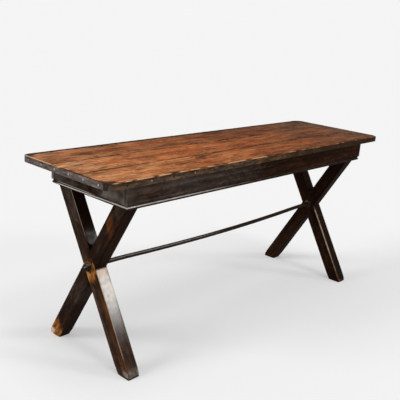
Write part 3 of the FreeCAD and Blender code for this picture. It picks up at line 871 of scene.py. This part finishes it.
def apron_colour(there, face, seed):
    """How red and how grey the outside of an apron board is; the grey is faded wood and painted light."""
    x, y, z = there
    red = 0.08 + 0.06 * rough(there, 0.16, seed) + 0.06 * rough(there, 0.035, seed)
    grey = 0.70 + 0.10 * rough(there, 0.07, seed + 4)
    if face.y < -0.5:
        reddish = blot(there, (-0.66, y, 0.700), (0.09, 1, 0.030))
        red += 0.10 * rise(-0.1, 0.3, x) + 0.10 * reddish
        red += 0.06 * blot(there, (0.67, y, 0.705), (0.09, 1, 0.04))
        # Painted light: the top strip, shaded by the overhang, is lightened; greyer to the left as painted
        # sheen.
        grey = (grey + 0.5 * rise(0.695, 0.712, z)) * rise(0.15, -0.55, x) - 0.25 * reddish
    if face.x < -0.5:
        red += 0.14 * blot(there, (x, -0.03, 0.680), (1, 0.05, 0.030)) - 0.05
        # Painted light: the left end, shaded by the overhang, is pale grey as a painted sheen, less in its
        # middle.
        grey = between(1.1, 1.42, rise(-0.04, -0.10, y)) + 0.6 * rough(there, 0.03, seed)
        grey -= 0.9 * blot(there, (x, 0.0, 0.680), (1, 0.085, 0.06))
    return red, grey


def make_apron(name, seed):
    """An apron board, with its inner face left plain and its end grain, where it shows, faded pale."""
    low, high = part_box(name)
    points, place, reach = boxed(name, APRON_EASE, 0.008)
    length = reach[1] - reach[0]
    shows_ends = runs_along_x(name)

    def finish(there, face, edge):
        hollow = uneven(there, seed, (0.00025, 0.10), (0.0001, 0.012))
        hollow += edge * uneven(there, seed + 1, (0.0006, 0.03))
        if shows_ends and reach[1] - abs(there.x) < END_GRAIN / 2:
            dirt = 0.5 * rise(0.0, 0.5, rough(there, 0.008, seed))
            return hollow, 0.0, dirt, 0.1, 1.4 + 0.6 * rough(there, 0.006, seed)
        # Darker along the top 18 mm, just under the top, and along the bottom 8 mm.
        dirt = 0.5 * rise(0.018, 0.0, high.z - there.z) + 0.25 * rise(0.008, 0.0, there.z - low.z)
        gloss = 0.1 * rise(0.2, -0.3, there.x) * (1 + rough(there, 0.2, seed + 3))
        if there.dot(face) <= 0 or abs(face.z) >= 0.5:
            return hollow, 0.05, dirt, gloss, 0.1
        red, grey = apron_colour(there, face, seed)
        wear = max(red, 0.24 * edge * (0.6 + 0.6 * rough(there, 0.03, seed + 2)))
        return hollow, wear, dirt, gloss, max(grey, 0)

    cuts = even(round(length / TIMBER_STEP))
    cuts = [0, END_GRAIN / length, *cuts[1:-1], 1 - END_GRAIN / length, 1]
    make_timber(name, "dark_wood", points, place, lambda across: reach, cuts, finish, seed)


def bead_section(depth, wide):
    """A round nose along the bottom of a recessed flat, on a square back: place, direction and no arris."""
    recess = wide - 2 * BEAD_NOSE
    lip = 0.0006
    points = []
    for share in even(3)[:-1]:
        points.append(((recess, between(depth, 2 * BEAD_NOSE, share)), (-1, 0)))
    points.append(((recess + lip, 2 * BEAD_NOSE), (-1, 0)))
    for share in even(12)[1:]:
        angle = math.radians(110 + 160 * share)
        out = math.cos(angle), math.sin(angle)
        points.append(((BEAD_NOSE + BEAD_NOSE * out[0], BEAD_NOSE + BEAD_NOSE * out[1]), out))
    for share in even(3)[1:]:
        points.append(((between(BEAD_NOSE, wide, share), 0), (0, -1)))
    for share in even(2)[1:]:
        points.append(((wide, depth * share), (1, 0)))
    for share in even(3)[1:-1]:
        points.append(((between(wide, recess, share), depth), (0, 1)))
    return [(Vector(place), Vector(out), 0.0) for place, out in points]


def make_bead(name, seed):
    """A mitred strip under an apron board: its rounded nose is pale, worn and with a painted highlight, and
    its recess and underside are darkened with painted shade.
    """
    low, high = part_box(name)
    line, out = (X_AXIS, Y_AXIS) if runs_along_x(name) else (Y_AXIS, X_AXIS)
    half = high.dot(line)
    wide = (high - low).dot(out)
    out = out * math.copysign(1, (low + high).dot(out))
    front = out * max(low.dot(out), high.dot(out))

    def place(along, across, up):
        return front - across * out + along * line + Z_AXIS * (low.z + up)

    def finish(there, face, edge):
        hollow = uneven(there, seed, (0.00022, 0.05), (0.0001, 0.01))
        on_nose = rise(2 * BEAD_NOSE + 0.002, 2 * BEAD_NOSE, there.z - low.z) * rise(0.1, 0.4, face.dot(out))
        nose = on_nose * rise(0.10, 0.45, face.z)
        strength = 0.20
        if out.x < -0.5:
            start = between(0.12, -0.40, rise(-0.22, 0.2, there.y))
            nose = on_nose * rise(start, start + 0.20, face.z) * rise(start + 0.85, start + 0.50, face.z)
            strength = 1.25 * rise(0.215, 0.16, there.y)
        elif out.y < -0.5:
            strength = between(0.10, 0.80, rise(0.15, -0.5, there.x))
        # The nose's pale line is worn wood with a painted highlight, strongest at the left end and near
        # corner.
        rub_and_highlight = nose * strength
        wear = (0.10 + 0.12 * rough(there, 0.08, seed)) * max(1 - rub_and_highlight, 0)
        # Painted shade in the recess above the nose and on the underside.
        dirt = 0.5 * rise(0.1, 0.0, on_nose)
        pale_and_highlight = (3.0 + 0.8 * rough(there, 0.025, seed + 1)) * rub_and_highlight
        return hollow, wear, dirt, min(0.15 + 0.85 * rub_and_highlight, 1), max(pale_and_highlight, 0.2 * rise(0.3, -0.3, there.x))

    points = bead_section(high.z - low.z, wide)
    cuts = even(round(2 * half / TIMBER_STEP))
    make_timber(name, "dark_wood", points, place, lambda across: (across - half, half - across), cuts,
                finish, seed)


# Crossed legs

CROSSING = sum(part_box("nut_left_outer"), Vector()) / 2
BEARER_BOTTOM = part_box("head_bearer_left")[0].z


class Lean:
    """The slant of the legs, which meet the bearer and cross at the rod."""
    low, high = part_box("leg_left_front")
    reach = high.y + HEAD_TRIM
    climb = BEARER_BOTTOM - CROSSING.z
    angle = math.acos(LEG_WIDTH / 2 / math.hypot(reach, climb)) - math.atan2(climb, reach)
    sine = math.sin(angle)
    cosine = math.cos(angle)
    toe = low.y
    side = high.y
    thickness = high.x - low.x
    middle = -(low.x + high.x) / 2


def leg_lines(across):
    """Where the line at a place across a leg meets the floor, both sides of the crossing and the bearer."""
    half = LEG_WIDTH / 2
    rise_across, run_across = across * Lean.sine, across * Lean.cosine
    foot = max((-CROSSING.z - rise_across) / Lean.cosine, (Lean.toe + run_across) / Lean.sine)
    head = min((Lean.climb - rise_across) / Lean.cosine, (Lean.side + run_across) / Lean.sine)
    twice = 2 * Lean.angle
    first = (across * math.cos(twice) - half) / math.sin(twice)
    second = (across * math.cos(twice) + half) / math.sin(twice)
    return foot, first, second, head


class LegSpot:
    """A place on a leg. upward is its place across the leg, towards the face that looks up."""

    def __init__(self, there, face, edge, upward):
        self.there = there
        self.edge = edge
        self.upward = upward
        self.grainy = rough(there, 0.05, 21)
        self.fine = rough(there, 0.014, 22)
        self.outer = face.x < -0.5
        self.outer_side = abs(there.x) > Lean.middle
        self.on_edge_faces = abs(face.x) < 0.5
        self.looks_up = upward > 0.02 and self.on_edge_faces
        self.wear = 0.03 + 0.08 * self.grainy + 0.05 * self.fine
        self.gloss = 0.10 + 0.10 * self.grainy


def near_front_look(spot):
    """The nearest leg: raw round the nut, a painted highlight on its upward face and arris, a pale toe."""
    x, y, z = spot.there
    edge, upward, grainy, fine = spot.edge, spot.upward, spot.grainy, spot.fine
    wear, dirt, gloss, shade = spot.wear, 0.0, spot.gloss, 0.0
    if spot.outer:
        low_down = rise(0.36, 0.28, z)
        to_front = rise(-0.01, 0.03, upward)
        wear = max(wear, 0.12 + low_down * (0.08 + 0.14 * to_front) + 0.06 * grainy)
        wear += 0.10 * rise(0.005, -0.02, upward) * rise(0.40, 0.46, z) * rise(0.66, 0.56, z)
        shade = 0.20 + 0.30 * rise(0.50, 0.58, z) + 0.10 * low_down
        shade -= 0.15 * to_front * rise(0.54, 0.49, z)
        raw = rise(1.25, 0.35, math.hypot(y / 0.060, (z - 0.352) / 0.062) + 0.3 * grainy)
        wear = max(wear, raw * (0.62 + 0.30 * fine))
        round_nut = blot(spot.there, (x, 0.0, 0.366), (1, 0.021, 0.024), 4)
        dirt = max(0.95 * round_nut, 0.8 * raw * rise(0.05, 0.4, -fine))
    if spot.looks_up:
        below = rise(0.368, 0.362, z)
        tan = below * rise(0.338, 0.348, z)
        sheen = rise(0.430, 0.480, z) * rise(0.66, 0.53, z) * (0.7 + 0.5 * rough(spot.there, 0.02, 23))
        # Below the crossing the upward face carries a painted highlight: shade pales it to cream, wear warms
        # it, and it fades to grey towards the foot. The coat's gloss adds a real reflection.
        wear = max(wear, tan, 0.20 * below)
        gloss = max(gloss, 0.88 * below * rise(0.045, 0.24, z) * (1 - 0.1 * tan), 0.95 * sheen)
        shade = max(0.40 * rise(0.20, 0.05, z), (2.2 + 0.5 * fine) * below * rise(0.12, 0.30, z))
        # Pale lines along the arris, high up and low down: a worn arris with a painted highlight.
        if edge == 1 and spot.outer_side:
            shade = max(shade, 2.6 * rise(0.42, 0.52, z))
        if edge > 0.9 and spot.outer_side:
            shade = max(shade, 1.9 * rise(0.03, 0.09, z) * below)
            wear = max(wear, 0.45 * below)
    tip = rise(0.055, 0.022, z + 0.014 * grainy) * rise(-0.012, 0.012, upward) * rise(-0.002, 0.012, z)
    shade = max(shade, (1.36 + 0.45 * spot.outer + 0.5 * fine) * tip)
    return wear * (1 - 0.3 * tip), dirt, gloss, shade


def near_back_look(spot):
    """The leg that crosses it: dark, with a red rub high up, and raw at its foot."""
    x, y, z = spot.there
    grainy, upward = spot.grainy, spot.upward
    wear = spot.wear
    shade = between(0.06, 0.28, rise(0.14, 0.26, z)) * rise(0.33, 0.25, z)
    if spot.outer:
        off = math.hypot((y + 0.112) / 0.032, (z - 0.560) / 0.095)
        wear = max(0.4 * wear, 0.38 * rise(1.3, 0.2, off + 0.25 * grainy))
        shade = max(shade, 0.08, 0.40 * blot(spot.there, (x, -0.148, 0.620), (1, 0.020, 0.028), 6))
        edge_height = between(0.076, 0.112, rise(-0.02, 0.02, upward))
        raw = rise(edge_height, edge_height - 0.050, z + 0.014 * grainy)
        bare_tip = rise(0.034, 0.018, z) * rise(0.0, 0.02, upward)
        wear = max(wear, (0.55 + 0.2 * spot.fine + 0.65 * bare_tip) * raw)
    return wear, 0.0, spot.gloss, shade


def far_look(spot, front_foot):
    """The two legs at the far end: dark, with painted shade on their edge faces, and one pale arris under
    the crossing, worn and with a painted highlight.
    """
    z = spot.there.z
    wear, dirt, shade = spot.wear, 0.0, 0.0
    # Painted shade: the edge faces are darkened, more on those that turn down, and near the foot.
    if spot.on_edge_faces:
        dirt = between(0.55, 0.38, rise(0.05, 0.25, z)) if spot.looks_up else 0.50
    # A pale arris on the front leg under the crossing: worn, with a painted highlight.
    if front_foot and spot.edge > 0.85 and spot.upward > 0.02 and not spot.outer_side:
        shade = (2.3 + 0.6 * spot.fine) * rise(0.37, 0.34, z) * between(0.6, 1, rise(0.02, 0.20, z))
        wear = max(wear, 0.5 * min(shade, 1))
    if z < 0.36:
        wear = max(wear, 0.12 + 0.08 * spot.grainy)
    return wear, dirt, 0.3 * spot.gloss, shade


def leg_look(name, there, face, edge, upward):
    """Wear, dirt, gloss and shade of a place on a leg."""
    spot = LegSpot(there, face, edge, upward)
    if name == "leg_left_front":
        wear, dirt, gloss, shade = near_front_look(spot)
    elif name == "leg_left_back":
        wear, dirt, gloss, shade = near_back_look(spot)
    else:
        wear, dirt, gloss, shade = far_look(spot, name.endswith("front"))
    wear = max(wear, 0.16 * edge * (0.5 + spot.grainy))
    return wear, dirt, 0.0 if face.z < -0.2 else clamp(gloss), shade


def make_leg(name, seed):
    """A leg with its foot to the front, halved on its +X side, or the same leg turned half round."""
    skin = Skin()
    half_wide, half_thick = LEG_WIDTH / 2, Lean.thickness / 2
    points = section((-half_wide, -half_thick), (half_wide, half_thick), LEG_CHAMFER, 0.0055, 1, True)
    low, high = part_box(name)
    centre = Vector(((low.x + high.x) / 2, 0, CROSSING.z))
    half_turn = -1 if name.endswith("back") else 1

    def place(along, across, thick):
        y = along * Lean.sine - across * Lean.cosine
        z = along * Lean.cosine + across * Lean.sine
        return centre + Vector((half_turn * thick, half_turn * y, z))

    def add(part, share, spot, out, edge):
        """A point of the leg below the crossing, in it or above it, which are parts 0, 1 and 2."""
        along = between(*leg_lines(spot.x)[part:part + 2], share)
        there = place(along, *spot)
        face = place(0, *out) - centre
        look = leg_look(name, there, face, edge, spot.x)
        sunk = uneven(there, seed, (0.0002, 0.07), (edge ** 8 * 0.0003, 0.03))
        foot = rise(FOOT_WEAR, 0.0, there.z)
        sunk += foot * foot * (0.0015 + 0.003 * edge) * (1 + 0.3 * rough(there, 0.02, seed))
        face.z *= rise(0.0, FOOT_WEAR, there.z)
        return skin.point(there - sunk * face, grain_at(along, *spot, seed), *look)

    def full_ring(part, share):
        return [add(part, share, *point) for point in points]

    gone = [index for index, (spot, out, edge) in enumerate(points) if spot.y > 0.0001]

    def halved_ring(share, kept=None):
        """A ring in the crossing, where the half towards the other leg is cut away to a flat floor."""
        ring = []
        for index, (spot, out, edge) in enumerate(points):
            if index in gone:
                across = between(half_wide, -half_wide, (gone.index(index) + 1) / (len(gone) + 1))
                spot, out, edge = Vector((across, 0)), Vector((0, 1)), 0
            elif kept:
                ring.append(kept[index])
                continue
            ring.append(add(1, share, spot, out, edge))
        return ring

    def close(ring):
        """Closes an end in strips across the leg, so that a toe cut square stays crisp."""
        levels = [spot.y for spot, out, edge in points]
        near = [index for index, level in enumerate(levels) if level == min(levels)]
        far = [index for index, level in enumerate(levels) if level == max(levels)]
        far.reverse()
        for here in range(len(near) - 1):
            skin.face([ring[index] for index in (near[here], near[here + 1], far[here + 1], far[here])])
        skin.face([ring[index] for index in range(near[-1], far[-1] + 1)])
        skin.face([ring[index] for index in (*range(far[0], len(ring)), *range(near[0] + 1))])

    lower = [full_ring(0, share) for share in [*TOE_SHARES, *even(LEG_STEPS_BELOW)[2:]]]
    upper = [full_ring(2, share) for share in even(LEG_STEPS_ABOVE)]
    middle = [halved_ring(0, lower[-1])]
    middle += [halved_ring(share) for share in even(LEG_STEPS_CROSSING)[1:-1]]
    middle += [halved_ring(1, upper[0])]
    skin.join(lower + middle + upper, open_ends=True)
    close(lower[0])
    close(upper[-1])
    skin.build(name, "dark_wood")


# Tie rod, nuts and washers

ROD_LOW, ROD_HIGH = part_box("tie_rod")
ROD_RADIUS = (ROD_HIGH.y - ROD_LOW.y) / 2


def make_rod():
    """A forged rod that sags between the frames, threaded at both ends, with a painted highlight line."""
    sag = CROSSING.z - ROD_RADIUS - ROD_LOW.z
    half_length = ROD_HIGH.x
    nut_low, nut_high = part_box("nut_left_inner")
    half_span = -nut_high.x - (nut_high.x - nut_low.x) / 2
    bend = ROD_BEND_SHARE * half_span
    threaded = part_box("washer_left_outer")[0].x + half_length
    run = half_length - threaded

    def height(x):
        reach = min(abs(x), half_span)
        if reach > half_span - bend:
            return CROSSING.z - sag * (half_span - reach) ** 2 / (half_span * bend)
        return CROSSING.z - sag + sag * reach ** 2 / (half_span * (half_span - bend))

    thread = [between(-half_length, -run, share) for share in even(THREAD_STEPS)[:-1]]
    middle = [between(-run, run, share) for share in even(ROD_STEPS)]
    skin = Skin()

    def add(x, angle):
        there = Vector((x, 0, height(x)))
        out = Vector((0, math.cos(angle), math.sin(angle)))
        from_end = half_length - abs(x)
        cut = 0.0006 * (1 + math.sin(2 * math.pi * x / THREAD_PITCH)) if from_end < threaded else 0
        cut += 0.0025 * rise(0.003, 0, from_end)
        beaten = uneven(there + 0.02 * out, 2, (0.00025, 0.03))
        # Darker and browner towards the far end; a painted highlight line along the rod's upper side fades
        # out there.
        toward_far_end = rise(-0.3, 0.3, x)
        line = rise(0.90, 0.995, out.y * -0.75 + out.z * 0.66)
        rub_and_highlight = (0.90 + 0.3 * rough(there, 0.03, 3)) * line * (1 - toward_far_end)
        look = (rub_and_highlight, 1.1 + 0.2 * toward_far_end, 0, 0.3 + 0.2 * toward_far_end)
        return skin.point(there + (ROD_RADIUS - cut - beaten) * out, (x, ROD_RADIUS * angle, 0), *look)

    skin.sweep(thread + middle + [-x for x in reversed(thread)], turns(ROD_SIDES), add)
    skin.build("tie_rod", "black_iron")


def make_nut(corner, seed):
    """A square nut whose outer corners are chamfered, with a painted highlight on its upper part."""
    name = "nut_" + corner
    low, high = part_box(name)
    thick = high.x - low.x
    outward = ("right" in corner) == ("outer" in corner)
    seat, away = (low.x, 1) if outward else (high.x, -1)
    turn = math.radians(NUT_TURNS[corner])
    flat = NUT_WIDTH / 2
    skin = Skin()

    def outline(angle):
        """The nut's section at an angle from a flat: radius and height of each point, round from the bore."""
        folded = (angle + math.pi / 4) % (math.pi / 2) - math.pi / 4
        reach = min(flat / math.cos(folded), flat * math.sqrt(2) - NUT_ROUNDING)
        slope = thick - 0.55 * max(reach - flat * 0.98, 0)
        return [(ROD_RADIUS, 0), (reach - 0.0004, 0), (reach, 0.0006), (reach, slope - 0.0006),
                (reach - 0.0006, slope), (flat * 0.96, thick), (ROD_RADIUS + 0.001, thick),
                (ROD_RADIUS, thick - 0.001)]

    def add(angle, radius, height):
        spot = Vector((0, math.cos(angle + turn), math.sin(angle + turn))) * radius
        beaten = 0.0003 * rough(spot + CROSSING, 0.008, seed)
        there = Vector((seat + away * height, spot.y, CROSSING.z + spot.z)) + spot.normalized() * beaten
        edge = rise(flat * 1.02, flat * 1.3, radius)
        # Rubbed at its corners, with a painted highlight on its upper part.
        rub_and_highlight = 0.10 * edge + 0.50 * rise(0.005, 0.012, spot.z + 0.004 * rough(there, 0.01, seed))
        return skin.point(there, spot + X_AXIS * seat, rub_and_highlight, 0.9, 0, 0.4)

    skin.join([[add(angle, *step) for step in outline(angle)] for angle in turns(NUT_SIDES)], loop=True)
    skin.build(name, "black_iron")


def make_washer(corner, seed):
    """A hand-cut round washer."""
    name = "washer_" + corner
    low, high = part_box(name)
    outer = (high.y - low.y) / 2
    inner = ROD_RADIUS + 0.0005
    ease = 0.0006
    rusted = 0.75 if corner == "left_outer" else 0.15
    outline = [(inner, low.x), (outer - ease, low.x), (outer, low.x + ease), (outer, high.x - ease),
               (outer - ease, high.x), (inner, high.x)]
    skin = Skin()

    def add(step, angle):
        radius, x = step
        out = Vector((0, math.cos(angle), math.sin(angle)))
        ragged = 0.0004 * (rough(out, 0.6, seed) - 1) if radius > inner else 0
        there = Vector((x, 0, CROSSING.z)) + (radius + ragged) * out
        return skin.point(there, there, 0.0, 0.3 + 0.3 * rough(there, 0.012, seed), rusted, 1.0)

    skin.sweep(outline, turns(WASHER_SIDES), add, loop=True)
    skin.build(name, "black_iron")


# Pieces under the top

def make_inner_timber(name, seed):
    """A bearer or batten: sawn, with slightly eased arrises, running from front to back."""
    points, place, reach = boxed(name, INNER_EASE, 0.010)

    def finish(there, face, edge):
        sawn = uneven(there, seed, (0.0002, 0.006), (0.0002, 0.05), (edge * 0.0005, 0.02))
        return sawn, 0.0, 0.3 + 0.3 * rough(there, 0.06, seed)

    make_timber(name, "bare_wood", points, place, lambda across: reach, even(INNER_STEPS), finish, seed)


def make_glue_block(name, seed):
    """A rubbed block in the angle under the top, its free edge planed off."""
    low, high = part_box(name)
    wide, tall = high.y - low.y, high.z - low.z
    back, inward = (low.y, 1) if low.y < 0 else (high.y, -1)
    nose = 0.31
    shape = [(0, 1), (1, 1), (1, 1 - nose), (nose, 0), (0, 0)]
    outline = [Vector(corner).lerp(Vector(following), step)
               for corner, following in zip(shape, shape[1:] + shape[:1]) for step in even(4)[:-1]]
    skin = Skin()

    def add(x, spot):
        across, up = spot
        y = back + inward * across * wide
        there = Vector((x, y, low.z + up * tall))
        there += Vector((0, inward * (0.4 - across), 0.6 - up)) * uneven(there, seed, (0.0008, 0.02))
        return skin.point(there, (x + seed, y, there.z), 0, 0.25)

    skin.sweep([between(low.x, high.x, share) for share in even(12)], outline, add)
    skin.build(name, "bare_wood")


# Stage, light and camera

def make_floor():
    mesh = bpy.data.meshes.new("floor")
    work = bmesh.new()
    bmesh.ops.create_grid(work, x_segments=4, y_segments=4, size=FLOOR_SIZE / 2)
    work.to_mesh(mesh)
    work.free()
    shader = new_material("floor")
    seen = shader.seen()
    colour = shader.mix(seen, FLOOR_BOUNCE, FLOOR_COLOUR)
    mesh.materials.append(shader.finish(Base_Color=colour, Roughness=0.9, Specular_IOR_Level=0.0,
                                        Emission_Color=(1, 1, 1), Emission_Strength=seen * FLOOR_GLOW))
    add_object("floor", mesh)


def make_world():
    """An even pale surround, which lights the table more softly than it shows."""
    world = bpy.data.worlds.new("surround")
    bpy.context.scene.world = world
    shader = Shader(world, "Background")
    shader.finish(Color=(1, 1, 1), Strength=shader.seen() * (PALE - AMBIENT) + AMBIENT)


def make_lamps():
    for name, (direction, angle, strength) in LAMPS.items():
        light = bpy.data.lights.new(name, "SUN")
        light.angle = math.radians(angle)
        light.energy = strength
        lamp = add_object(name, light)
        lamp.location = Vector(direction).normalized() * LAMP_DISTANCE
        lamp.rotation_euler = Vector(direction).to_track_quat("Z", "Y").to_euler()


def make_camera():
    camera = add_object("camera", bpy.data.cameras.new("camera"))
    camera.data.lens = CAMERA_LENS
    heading = Matrix.Rotation(-CAMERA_YAW, 4, "Z")
    tilt = Matrix.Rotation(math.pi / 2 - CAMERA_PITCH, 4, "X")
    roll = Matrix.Rotation(CAMERA_ROLL, 4, "Z")
    camera.matrix_world = Matrix.Translation(CAMERA_PLACE) @ heading @ tilt @ roll
    bpy.context.scene.camera = camera


def repaint(material, *nodes):
    """Gives the frame's own solids a finish."""
    for node in nodes:
        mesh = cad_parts[node].data
        mesh.materials.clear()
        mesh.materials.append(material)


def make_table():
    make_top()
    make_band()
    make_nails()
    for seed, side in enumerate(("front", "back", "left", "right"), start=1):
        make_apron("apron_" + side, 10 + seed)
        make_bead("bead_" + side, 20 + seed)
    for seed, name in enumerate(("left_front", "left_back", "right_front", "right_back"), start=1):
        make_leg("leg_" + name, seed)
    make_rod()
    for seed, corner in enumerate(NUT_TURNS, start=1):
        make_nut(corner, seed)
        make_washer(corner, seed)
    for seed, name in enumerate(("head_bearer_left", "head_bearer_right", "batten_left", "batten_right")):
        make_inner_timber(name, 30 + seed)
    for seed, side in enumerate(("front", "back")):
        for place in (1, 2, 3):
            make_glue_block(f"glue_block_{side}_{place}", 40 + 3 * seed + place)
    repaint(hidden_steel(), "apron_nails", "bearer_nails", "bead_pins", "top_screws")
    repaint(peg_wood(), "tenon_pegs")


make_table()
make_floor()
make_world()
make_lamps()
make_camera()
bpy.context.scene.view_settings.view_transform = "Standard"
